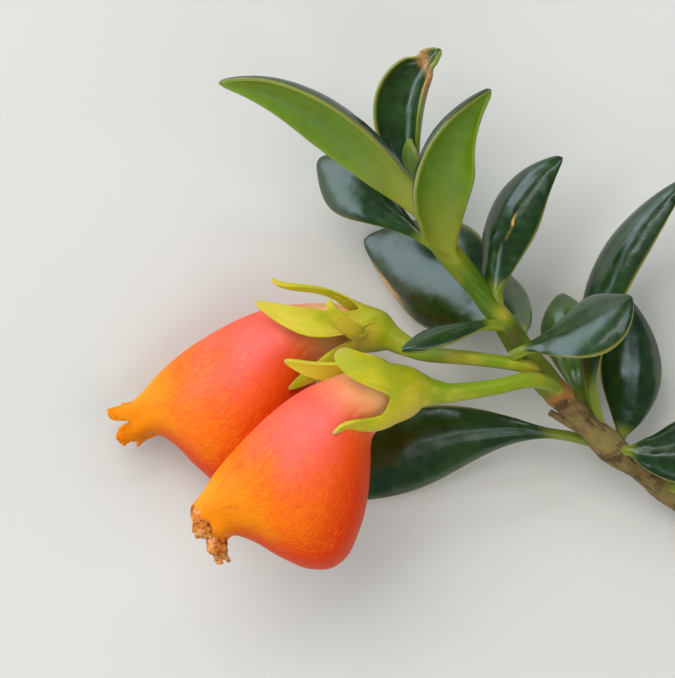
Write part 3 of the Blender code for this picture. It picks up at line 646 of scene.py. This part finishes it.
# Where each bloom's tube starts and which way it points, in millimetres and degrees; its size against
# the ribs; each lobe's length in millimetres; and how its mouth opens, hangs, dries and narrows.
FLOWERS = {
    "front": dict(
        at=(6.75, -5.3, 15.4), heading=214, dip=2, roll=0, size=0.992,
        lobes=(1.0, 0.7, 1.4, 1.9, 1.6), flare=0.05, droop=1.1, withered=1.0, narrow=0.16, seed=1.3,
    ),
    "back": dict(
        at=(2.4, 0.25, 7.15), heading=201, dip=8, roll=8, size=1.03,
        lobes=(1.2, 0.8, 1.6, 2.8, 2.5), flare=0.18, droop=0.0, withered=0.12, narrow=0.34, seed=4.1,
    ),
}


TUBE_SHARE = 0.86
CURVE_SPAN = 40
PLEATS, SEAMS, PLEAT_DEPTH, SEAM_DEPTH, NOTCH_DEPTH = 10.0, 5.0, 0.004, 0.010, 0.07
NECK_FROM = 0.62
LEAST_LOBE, LOBE_REACH, FIRST_LOBE = 0.1, 0.27, 0.25
SHRIVEL_TURN, SHRIVEL_DEPTH, DIMPLE_DEPTH = 1.6, 0.7, 0.12


def pouch_tree():
    """The skin of one bloom in its own frame: along the tube, up to its back, and aside."""
    lobe_names = [f"Lobe {number + 1}" for number in range(LOBES)]
    tree = Grower(
        "flower_pouch", floats=("Flare", "Droop", "Withered", "Narrow", "Seed", *lobe_names),
        counts=("Steps", "Sides"),
    )
    grid, g, around = tree.sheet(tree["Steps"], tree["Sides"])
    tube = (g / TUBE_SHARE).least(1.0)
    lobe = ((g - TUBE_SHARE) / (1.0 - TUBE_SHARE)).most(0.0)

    def profile(values):
        """A smooth curve through one number of every rib, in metres."""
        node = tree.tree.nodes.new("ShaderNodeFloatCurve")
        node.mapping.use_clip = False
        curve = node.mapping.curves[0]
        places = [(i / (len(values) - 1), value / CURVE_SPAN + 0.5) for i, value in enumerate(values)]
        curve.points[0].location, curve.points[1].location = places[0], places[-1]
        for place in places[1:-1]:
            curve.points.new(*place)
        node.mapping.update()
        plug(tree.tree, tube, node.inputs["Value"])
        return (Wire(tree.tree, node.outputs[0]) - 0.5) * (CURVE_SPAN * MM)

    back_x, back_y = (profile([rib[0][k] for rib in POUCH_RIBS]) for k in (0, 1))
    belly_x, belly_y = (profile([rib[1][k] for rib in POUCH_RIBS]) for k in (0, 1))
    half = profile([rib[2] for rib in POUCH_RIBS])
    turn = around * FULL_TURN
    up, aside = turn.cos(), turn.sin()
    swell = tube.ramp(0.1, 0.35) * tube.ramp(1.0, 0.8)
    folds = (turn * PLEATS + (tube * 5.0).sin()).cos() * PLEAT_DEPTH + (turn * SEAMS).cos() * SEAM_DEPTH
    folds = folds * swell + (turn * SEAMS).sin() * NOTCH_DEPTH * tube.ramp(0.86, 1.0)
    x = (back_x + belly_x) * 0.5 + (back_x - belly_x) * 0.5 * up
    y = (back_y + belly_y) * 0.5 + (back_y - belly_y) * 0.5 * up * (folds + 1.0)
    z = half * aside * (folds + 1.0)
    neck = 1.0 - tube.ramp(NECK_FROM, 1.0) * tree["Narrow"]
    y, z = y * neck, z * neck

    length = LEAST_LOBE
    for number, name in enumerate(lobe_names):
        away = ((turn - (number + FIRST_LOBE) * FULL_TURN / LOBES) * 0.5).sin() / LOBE_REACH
        length = length + tree[name] * (away * away).hump(1.0)
    length = length * MM
    crumpled = tree.vector(up * 2.0, aside * 2.0, lobe * 1.5 + tree["Seed"])
    shrivel = (tree.noise(crumpled, 2.6) - 0.5) * tree["Withered"]
    flare = tree["Flare"] * lobe + shrivel * SHRIVEL_TURN * lobe
    x = x + lobe * length * flare.cos()
    reach = lobe * length * flare.sin() + shrivel * lobe * (SHRIVEL_DEPTH * MM)
    y = y + reach * up - lobe * lobe * length * tree["Droop"]
    z = z + reach * aside
    skin = tree.vector(x, y, z)
    dimple = (tree.noise(skin, 420.0, 2.0) - 0.5) * (DIMPLE_DEPTH * MM)
    skin = skin + tree.vector(0.0, up, aside) * dimple
    return tree.finish(grid, skin, along=g, back=up, around=around, withered=tree["Withered"])


def flower_place(flower):
    """From the bloom's own frame to the shared one: heading, then dip, then roll."""
    turn = Matrix.Rotation(math.radians(flower["heading"]), 4, "Z")
    turn = turn @ Matrix.Rotation(math.radians(flower["dip"]), 4, "Y")
    turn = turn @ Matrix.Rotation(math.radians(180 + flower["roll"]), 4, "X")
    return Matrix.Translation(spot(*flower["at"])) @ turn @ Matrix.Scale(flower["size"], 4)


ORANGE, AMBER, YOLK = (0.80, 0.080, 0.005), (0.82, 0.135, 0.0), (0.78, 0.225, 0.0)
# In the next row, the second colour is partly the petal's coral and partly a painted sheen.
BELLY_RED, CORAL_AND_SHEEN = (0.64, 0.030, 0.0), (0.88, 0.092, 0.052)
# The first colour in this row is a painted pink-white sheen.
PAINTED_PINK_SHEEN, GOLD = (0.95, 0.185, 0.18), (0.88, 0.33, 0.004)
FLECK_LIGHT, FLECK_RED, FLECK_DEEP = (0.86, 0.24, 0.012), (0.72, 0.060, 0.002), (0.70, 0.062, 0.010)
# The first colour in this row is painted shade for the wrinkle creases.
WRINKLE_SHADE, FRECKLE, TUBE_PALE = (0.50, 0.070, 0.006), (0.95, 0.38, 0.10), (0.82, 0.45, 0.19)
DRY_DEEP, DRY_BROWN = (0.20, 0.022, 0.004), (0.62, 0.19, 0.03)
DRY_PALE, DRY_RIM = (0.80, 0.36, 0.17), (0.66, 0.32, 0.11)


def petal_material():
    """Satin orange with lengthwise flecks: red below, coral and a painted pink sheen on the back, gold at
    the neck.
    """
    paint = Paint(
        "petal_satin", Specular_IOR_Level=0.13, Subsurface_Weight=0.12, Subsurface_Scale=MM,
        Subsurface_Radius=(1.0, 0.3, 0.05),
    )
    along, back, withered = (paint.read(name) for name in ("along", "back", "withered"))
    around = paint.read("around") * FULL_TURN
    warp = paint.noise(paint.place, 260.0, 3.0) - 0.5
    lengthwise = paint.vector(around.cos() + warp * 0.20, around.sin() + warp * 0.20, along * 1.1)
    streaks = paint.noise(lengthwise, 7.0, 6.0, 0.65)
    fine_streaks = paint.noise(lengthwise, 38.0, 5.0, 0.75)
    crosswise = paint.vector(around.cos() + warp, around.sin() + warp, along * 2.6)
    wrinkles = paint.noise(crosswise, 4.0, 3.0) - 0.5
    cloud = paint.noise(paint.place, 150.0, 3.0)
    freckles = paint.cells(paint.place, 1900.0)
    drift = (cloud - 0.5) * 0.35
    flecks = (fine_streaks - 0.5) * 0.30

    ripe = paint.mix((along + drift * 0.4 + flecks).ramp(0.34, 0.56), ORANGE, AMBER)
    ripe = paint.mix((along + drift + flecks).ramp(0.54, 0.74), ripe, YOLK)
    belly = (back + drift + flecks).ramp(-0.20, -0.80) * along.ramp(0.18, 0.40) * along.ramp(0.86, 0.66)
    ripe = paint.mix(belly * 0.95, ripe, BELLY_RED)
    # Coral on the back: partly the petal's own coral, partly a painted sheen of reflected light.
    coral_and_sheen = (back + drift * 2.0 + flecks).ramp(-0.45, 0.45) * along.ramp(0.08, 0.20)
    coral_and_sheen = coral_and_sheen * (along + flecks * 0.6 + drift * 0.7).ramp(0.58, 0.34)
    ripe = paint.mix(coral_and_sheen * 0.95, ripe, CORAL_AND_SHEEN)
    # Painted highlight: a pinkish sheen on the upper back, a painted reflection.
    painted_sheen = (back - 0.45 + drift).hump(0.40) * (along - 0.36 + drift).hump(0.13)
    ripe = paint.mix(painted_sheen * 0.50, ripe, PAINTED_PINK_SHEEN)
    gold = back.ramp(0.45, 0.95) * along.ramp(0.60, 0.76)
    ripe = paint.mix(gold * 0.8, ripe, GOLD)
    ripe = paint.mix(fine_streaks.ramp(0.50, 0.66) * along.ramp(0.20, 0.5) * 0.45, ripe, FLECK_LIGHT)
    ripe = paint.mix(streaks.ramp(0.45, 0.32) * 0.30, ripe, FLECK_RED)
    ripe = paint.mix(fine_streaks.ramp(0.48, 0.36) * 0.32, ripe, FLECK_DEEP)
    # Painted shade: the wrinkle creases are painted darker.
    lines = wrinkles.hump(0.03) * along.ramp(0.30, 0.48) * streaks.ramp(0.52, 0.40)
    lines = lines * (withered * 0.7 + 0.3)
    ripe = paint.mix(lines * 0.28, ripe, WRINKLE_SHADE)
    ripe = paint.mix(freckles.ramp(0.0, 0.14, 0.20, 0.0), ripe, FRECKLE)
    pale = (along + (streaks - 0.5) * 0.12 - back * 0.03).ramp(0.30, 0.10)
    ripe = paint.mix(pale * 0.92, ripe, TUBE_PALE)
    dead = paint.noise(paint.place, 900.0, 4.0, 0.6)
    lips = (along + (dead - 0.5) * 0.16).ramp(0.855, 0.92) * withered.ramp(0.1, 1.0, 0.0, 0.95)
    brown = paint.mix(dead.ramp(0.38, 0.50), DRY_DEEP, DRY_BROWN)
    brown = paint.mix(dead.ramp(0.54, 0.64), brown, DRY_PALE)
    brown = paint.mix(along.ramp(0.965, 1.0) * 0.7, brown, DRY_RIM)
    colour = paint.mix(lips, ripe, brown)
    rough = cloud.ramp(0.3, 0.7, 0.40, 0.52) + lips * 0.3
    skin = paint.bump(fine_streaks - lines * 0.6, 0.06 * MM, 0.5)
    skin = paint.bump(streaks, 0.14 * MM, 0.35, skin)
    skin = paint.bump(cloud, 0.5 * MM, 0.3, skin)
    return paint.set(Base_Color=colour, Roughness=rough, Normal=skin)


POUCH_TREE = pouch_tree()
PETAL = petal_material()
for name, flower in FLOWERS.items():
    sizes = {key: flower[key] for key in ("flare", "droop", "withered", "narrow", "seed")}
    for number, length in enumerate(flower["lobes"]):
        sizes[f"lobe_{number + 1}"] = length
    pouch = grow(
        "corolla_" + name + "_pouch", POUCH_TREE, place=flower_place(flower), material=PETAL,
        steps=190, sides=161, **sizes,
    )
    wall = pouch.modifiers.new("wall", "SOLIDIFY")
    wall.thickness = PETAL_WALL * MM
    wall.offset = -1
    finish_modifiers(pouch)
    lift_clear(pouch.data)
    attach(pouch, "root")
    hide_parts("corolla_" + name)

# Calyces and flower stalks.
# A thin green stalk widens into a shallow cup and splits almost at once into five broad sepals, all
# one satin yellow-green skin. Some sepals hug the pouch, others stand away, and the dry tips hook.

SEPAL_WALL = 0.45
# Stalk: its middle line from the stem to the cup, with the radius last. Rim: the middle of the cup
# where it splits, and its radius. Sepals: place round the cup in degrees from its back towards the
# front of the sprig, width, bluntness, the way its outer side faces at the tip, and its middle line.
FRONT_STALK = [
    (22.2, -5.4, 11.2, 0.70), (21.2, -4.5, 13.1, 0.78), (19.0, -4.1, 14.9, 0.78), (16.2, -4.7, 15.5, 0.78),
    (13.7, -5.1, 15.5, 0.86), (11.2, -5.4, 15.5, 0.98), (10.0, -5.35, 15.45, 1.2), (9.1, -5.3, 15.4, 1.45),
    (8.4, -5.2, 15.4, 1.8),
]
BACK_STALK = [
    (20.2, -3.4, 11.5, 0.75), (18.9, -2.8, 13.4, 0.72), (16.8, -2.4, 13.5, 0.68), (13.0, -1.9, 12.6, 0.72),
    (9.0, -1.5, 10.8, 0.82), (6.8, -0.7, 9.5, 1.05), (5.3, 0.1, 8.8, 1.35),
]
FRONT_SEPALS = [
    (52, 4.2, 2.8, (-0.1, 0.35, 0.93), [
        (5.0, -3.3, 18.9), (2.9, -2.9, 19.5), (1.3, -2.3, 19.6), (0.0, -1.0, 19.2),
    ]),
    (132, 2.3, 1.7, (-0.1, -0.6, 0.8), [
        (5.6, -8.0, 17.9), (4.2, -8.7, 18.4), (2.4, -8.8, 19.1), (0.8, -8.7, 20.0), (-0.4, -9.5, 20.5),
    ]),
    (190, 2.8, 1.7, (0.1, -0.9, -0.3), [(4.4, -9.0, 14.0), (2.4, -9.6, 12.2), (0.2, -9.9, 10.0)]),
    (255, 2.8, 1.7, (-0.2, 0.1, -0.95), [(4.2, -6.4, 11.8), (1.4, -6.4, 10.6), (-2.0, -6.2, 10.4)]),
    (322, 3.8, 1.6, (0.1, 0.40, -0.9), [
        (3.6, -2.9, 14.6), (0.8, -3.2, 14.8), (-1.8, -3.2, 15.0), (-3.75, -2.6, 15.1), (-5.4, -2.0, 15.0),
    ]),
]
BACK_SEPALS = [
    (335, 1.4, 1.3, (0.1, 0.9, -0.4), [
        (2.1, 3.5, 8.6), (0.3, 4.5, 9.0), (-1.6, 5.2, 9.3), (-3.9, 5.4, 9.5), (-5.8, 5.6, 9.6),
        (-6.6, 6.4, 9.6),
    ]),
    (28, 6.0, 1.3, (-0.1, 0.2, 0.97), [
        (1.6, 1.5, 11.2), (-1.0, 1.5, 12.0), (-3.5, 2.0, 11.9), (-6.0, 2.7, 11.3), (-8.8, 4.1, 10.6),
    ]),
    (88, 1.6, 1.3, (-0.5, 0.2, 0.85), [
        (2.4, 0.2, 11.7), (0.9, 1.2, 12.8), (-0.3, 2.4, 13.5), (-0.8, 3.3, 13.7), (-0.85, 4.15, 13.6),
    ]),
    (150, 2.4, 1.6, (-0.3, -0.5, 0.8), [
        (0.6, -1.6, 10.6), (-1.4, -2.9, 11.2), (-3.4, -4.0, 11.1), (-5.0, -5.2, 10.9),
    ]),
    (245, 2.8, 1.6, (-0.1, -0.1, -0.95), [(0.8, 0.6, 4.8), (-2.0, 0.5, 3.2), (-5.2, 0.4, 2.5)]),
]
CALYCES = {
    "front": dict(stalk=FRONT_STALK, rim=(7.4, -5.2, 15.4), rim_radius=2.6, sepals=FRONT_SEPALS),
    "back": dict(stalk=BACK_STALK, rim=(3.8, 0.75, 8.3), rim_radius=2.45, sepals=BACK_SEPALS),
}
CUP_ROWS, SEPAL_ROWS, SEPAL_COLUMNS, STALK_ROWS = 6, 22, 12, 60
# On the skin, along is -1.2 at the stem, -0.2 where the cup starts, 0 at its rim and 1 at a tip.
STALK_START, CUP_LENGTH = 1.2, 0.2
STALK_RIBS, STALK_RIB_DEPTH = 5, 0.035
CUP_FLARE = 0.85
SEPAL_SAG, SEPAL_WAVE, SEPAL_WAVES = 0.35, 0.12, 11
SPLIT_REACH, FACE_REACH = 2.0, 1.3
STEP = 0.01
SMOOTH_ROUNDS, SMOOTH_FROM, SMOOTH_TO = 10, -0.3, 0.25


def smooth_line(points, share):
    """A place on a smooth curve through all the points: share is 0 at the first and 1 at the last."""
    reach = share * (len(points) - 1)
    i = min(int(reach), len(points) - 2)
    t = reach - i
    a, b, c, d = (points[min(max(k, 0), len(points) - 1)] for k in range(i - 1, i + 3))
    bend = (2 * a - 5 * b + 4 * c - d) * t**2 + (3 * b - a - 3 * c + d) * t**3
    return 0.5 * (2 * b + (c - a) * t + bend)


def ease(share):
    """Goes smoothly from 0 to 1, and stays there."""
    share = min(max(share, 0.0), 1.0)
    return share * share * (3 - 2 * share)


def calyx_skin(spec):
    """Rows of points from the stem to the sepals' edges, each with how far along and across it is."""
    path = [spot(*point[:3]) for point in spec["stalk"]]
    radii = [point[3] * MM for point in spec["stalk"]]
    rim, rim_radius = spot(*spec["rim"]), spec["rim_radius"] * MM
    axis = (rim - path[-1]).normalized()
    front = (Vector((0, 0, 1)) - axis * axis.z).normalized()
    back = axis.cross(front)
    sepals = spec["sepals"]
    turns = [math.radians(sepal[0]) for sepal in sepals]

    def circle(middle, radius, forward, angle):
        across = (back - forward * back.dot(forward)).normalized()
        return middle + (across * math.cos(angle) + across.cross(forward) * math.sin(angle)) * radius

    strips = []
    for number, (turn, (_, width, blunt, face, line)) in enumerate(zip(turns, sepals)):
        before = (turn - turns[number - 1]) % FULL_TURN / 2
        after = (turns[(number + 1) % len(turns)] - turn) % FULL_TURN / 2
        face = Vector(face).normalized()
        middle = [circle(path[-1], radii[-1], axis, turn), circle(rim, rim_radius, axis, turn)]
        middle += [spot(*point) for point in line]
        first = 1 / (len(middle) - 1)
        radial = (middle[1] - rim).normalized()

        def frame_at(share):
            """The middle line, the way across it and the way out of it."""
            place = first + (1 - first) * share
            ahead = smooth_line(middle, min(place + STEP, 1.0)) - smooth_line(middle, place - STEP)
            ahead = ahead.normalized()
            out = radial.lerp(face, ease(share * FACE_REACH))
            out = (out - ahead * out.dot(ahead)).normalized()
            return smooth_line(middle, place), out.cross(ahead), out

        start, start_across, start_out = frame_at(0.0)
        for column in range(SEPAL_COLUMNS + 1):
            c = 2 * column / SEPAL_COLUMNS - 1
            sector = after if c > 0 else before
            angle = turn + c * sector
            rib = STALK_RIB_DEPTH * math.cos(STALK_RIBS * angle)
            strip = []
            for row in range(STALK_ROWS):
                share = row / STALK_ROWS
                forward = smooth_line(path, share + STEP) - smooth_line(path, max(share - STEP, 0))
                radius = smooth_line(radii, share) * (1 + rib)
                here = circle(smooth_line(path, share), radius, forward.normalized(), angle)
                strip.append((here, share - STALK_START, c))
            for row in range(CUP_ROWS + 1):
                share = row / CUP_ROWS
                radius = radii[-1] + (rim_radius - radii[-1]) * share**CUP_FLARE
                here = circle(path[-1].lerp(rim, share), radius * (1 + rib * (1 - share)), axis, angle)
                strip.append((here, (share - 1) * CUP_LENGTH, c))
            base = circle(rim, rim_radius, axis, angle)
            rim_half, rim_sag = rim_radius * math.sin(sector), rim_radius * (1 - math.cos(sector))
            for row in range(1, SEPAL_ROWS + 1):
                share = row / SEPAL_ROWS * (1 - abs(c) ** blunt)
                here, across, out = frame_at(share)
                blend = ease(share * SPLIT_REACH)
                half = rim_half * (1 - blend) + width / 2 * MM * blend
                sag = rim_sag * (1 - blend) + SEPAL_SAG * width / 2 * MM * blend
                shift = (across * half - start_across * rim_half) * c
                dip = (out * sag - start_out * rim_sag) * c * c
                wave = SEPAL_WAVE * MM * math.sin(share * SEPAL_WAVES + number * 2) * c * blend
                strip.append((base + (here - start) + shift - dip + out * wave, share, c))
            strips.append(strip)
    return strips


def calyx_piece(name, spec, material):
    """Joins the rows into one skin, smooths it where the sepals split, and gives it thickness."""
    solid = bmesh.new()
    marks = {key: solid.verts.layers.float.new(key) for key in ("along", "across")}
    rows = []
    for strip in calyx_skin(spec):
        line = []
        for place, along, across in strip:
            vert = solid.verts.new(place)
            vert[marks["along"]], vert[marks["across"]] = along, across
            line.append(vert)
        rows.append(line)
    for left, right in zip(rows, rows[1:] + rows[:1]):
        for k in range(len(left) - 1):
            solid.faces.new((left[k], right[k], right[k + 1], left[k + 1]))
    bmesh.ops.remove_doubles(solid, verts=solid.verts, dist=WELD)
    joint = [vert for vert in solid.verts if SMOOTH_FROM < vert[marks["along"]] < SMOOTH_TO]
    for _ in range(SMOOTH_ROUNDS):
        bmesh.ops.smooth_vert(
            solid, verts=joint, factor=0.5, use_axis_x=True, use_axis_y=True, use_axis_z=True
        )
    bmesh.ops.recalc_face_normals(solid, faces=solid.faces)
    mesh = bpy.data.meshes.new(name)
    solid.to_mesh(mesh)
    solid.free()
    mesh.materials.append(material)
    mesh.shade_smooth()
    piece = bpy.data.objects.new(name, mesh)
    scene.collection.objects.link(piece)
    wall = piece.modifiers.new("wall", "SOLIDIFY")
    wall.thickness, wall.offset = SEPAL_WALL * MM, -1
    soften = piece.modifiers.new("soften", "SUBSURF")
    soften.levels = soften.render_levels = 1
    finish_modifiers(piece)
    lift_clear(piece.data)
    return piece


STALK_GREEN, CUP_GREEN, SEPAL_YELLOW = (0.17, 0.26, 0.003), (0.40, 0.39, 0.005), (0.56, 0.46, 0.014)
STALK_END, SEPAL_WARM, SEPAL_COOL = (0.12, 0.15, 0.012), (0.62, 0.44, 0.045), (0.24, 0.32, 0.005)
SEPAL_STRAND, SEPAL_EDGE, SEPAL_DRY = (0.30, 0.36, 0.006), (0.66, 0.54, 0.12), (0.45, 0.28, 0.12)


def sepal_material():
    """Satin yellow green, greener down the stalk, with soft strands, pale edges and dry tips."""
    paint = Paint(
        "sepal_green", Specular_IOR_Level=0.4, Subsurface_Weight=0.15, Subsurface_Scale=0.8 * MM,
        Subsurface_Radius=(0.8, 0.9, 0.15),
    )
    along, across = paint.read("along"), paint.read("across")
    strands = paint.noise(paint.vector(across * 1.4, along * 0.9), 6.0, 4.0)
    cloud = paint.noise(paint.place, 240.0, 3.0)
    grain = paint.cells(paint.place, 6000.0)
    green = paint.mix(along.ramp(-0.45, 0.0), STALK_GREEN, CUP_GREEN)
    green = paint.mix(along.ramp(-0.98, -1.14) * 0.8, green, STALK_END)
    green = paint.mix(along.ramp(0.0, 0.5), green, SEPAL_YELLOW)
    green = paint.mix(cloud.ramp(0.42, 0.68) * 0.65, green, SEPAL_WARM)
    green = paint.mix(cloud.ramp(0.50, 0.30) * 0.50, green, SEPAL_COOL)
    green = paint.mix(strands.ramp(0.40, 0.62) * 0.25, green, SEPAL_STRAND)
    green = paint.mix(across.size().ramp(0.80, 1.0) * along.ramp(0.0, 0.2) * 0.4, green, SEPAL_EDGE)
    green = paint.mix(along.ramp(0.90, 0.99) * 0.6, green, SEPAL_DRY)
    skin = paint.bump(strands, 0.08 * MM, 0.4)
    skin = paint.bump(grain, 0.02 * MM, 0.5, skin)
    return paint.set(Base_Color=green, Roughness=cloud.ramp(0.3, 0.7, 0.38, 0.50), Normal=skin)


SEPAL_GREEN = sepal_material()
for name, spec in CALYCES.items():
    calyx = calyx_piece("calyx_" + name + "_skin", spec, SEPAL_GREEN)
    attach(calyx, "root")
    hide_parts("calyx_" + name)

# Table, light and camera.
# A plain pale table, soft studio light from the upper left as on the real sprig, and a camera that
# looks straight down on the sprig, as the photograph looks across at it.

TABLE_REACH, TABLE_DROP = 3.0, 0.02 * MM
TABLE_COLOUR = (0.62, 0.61, 0.58, 1)
ROOM_COLOUR, ROOM_STRENGTH = (0.80, 0.88, 1.0, 1), 0.14
CAMERA_HEIGHT, FOCUS_HEIGHT = 612 * MM, 12 * MM
SENSOR, VIEW_WIDTH = 36.0, 67.8 * MM
# Each soft box: place, width, height and power, colour, and whether glossy skins mirror it.
LIGHTS = {
    "key": ((-0.35, 0.42, 0.85), 0.80, 0.80, 6.7, (1.0, 0.97, 0.92), False),
    "sky": ((-0.85, 0.34, 0.24), 1.80, 0.55, 9.8, (0.72, 0.89, 1.0), True),
    "window": ((0.26, 0.62, 0.72), 0.40, 0.30, 1.0, (0.72, 0.90, 1.0), True),
    "strip": ((-0.22, 0.62, 0.80), 0.60, 0.05, 1.0, (0.95, 0.98, 1.0), True),
    "low_strip": ((-0.18, -0.52, 0.85), 0.70, 0.12, 0.7, (0.85, 0.95, 1.0), True),
    "fill": ((0.62, -0.30, 0.70), 0.90, 0.90, 4.2, (1.0, 0.98, 0.95), False),
    "low_fill": ((-0.30, -0.62, 0.45), 0.80, 0.80, 1.8, (1.0, 0.97, 0.93), False),
}

floor_mesh = bpy.data.meshes.new("table")
corners = [(x * TABLE_REACH, y * TABLE_REACH) for x, y in ((-1, -1), (1, -1), (1, 1), (-1, 1))]
floor_mesh.from_pydata([(x, y, -TABLE_DROP) for x, y in corners], [], [(0, 1, 2, 3)])
floor = bpy.data.objects.new("table", floor_mesh)
scene.collection.objects.link(floor)
floor_paint = Paint("table_top", Roughness=0.85, Specular_IOR_Level=0.2, Base_Color=TABLE_COLOUR)
floor_mesh.materials.append(floor_paint.material)

room = bpy.data.worlds.new("studio")
room.use_nodes = True
room.node_tree.nodes["Background"].inputs["Color"].default_value = ROOM_COLOUR
room.node_tree.nodes["Background"].inputs["Strength"].default_value = ROOM_STRENGTH
scene.world = room

for name, (place, wide, high, power, colour, mirrored) in LIGHTS.items():
    light = bpy.data.lights.new(name, "AREA")
    light.shape, light.size, light.size_y = "RECTANGLE", wide, high
    light.energy, light.color = power, colour
    box = bpy.data.objects.new(name, light)
    scene.collection.objects.link(box)
    box.location = place
    box.rotation_euler = (-Vector(place)).to_track_quat("-Z", "Y").to_euler()
    box.visible_glossy = mirrored

camera = bpy.data.cameras.new("camera")
camera.sensor_width = SENSOR
camera.lens = SENSOR * (CAMERA_HEIGHT - FOCUS_HEIGHT) / VIEW_WIDTH
camera.clip_start, camera.clip_end = 0.01, 10.0
eye = bpy.data.objects.new("camera", camera)
scene.collection.objects.link(eye)
eye.location = (SET_DOWN.x * MM, SET_DOWN.y * MM, CAMERA_HEIGHT)
scene.camera = eye
scene.view_settings.view_transform = "Standard"
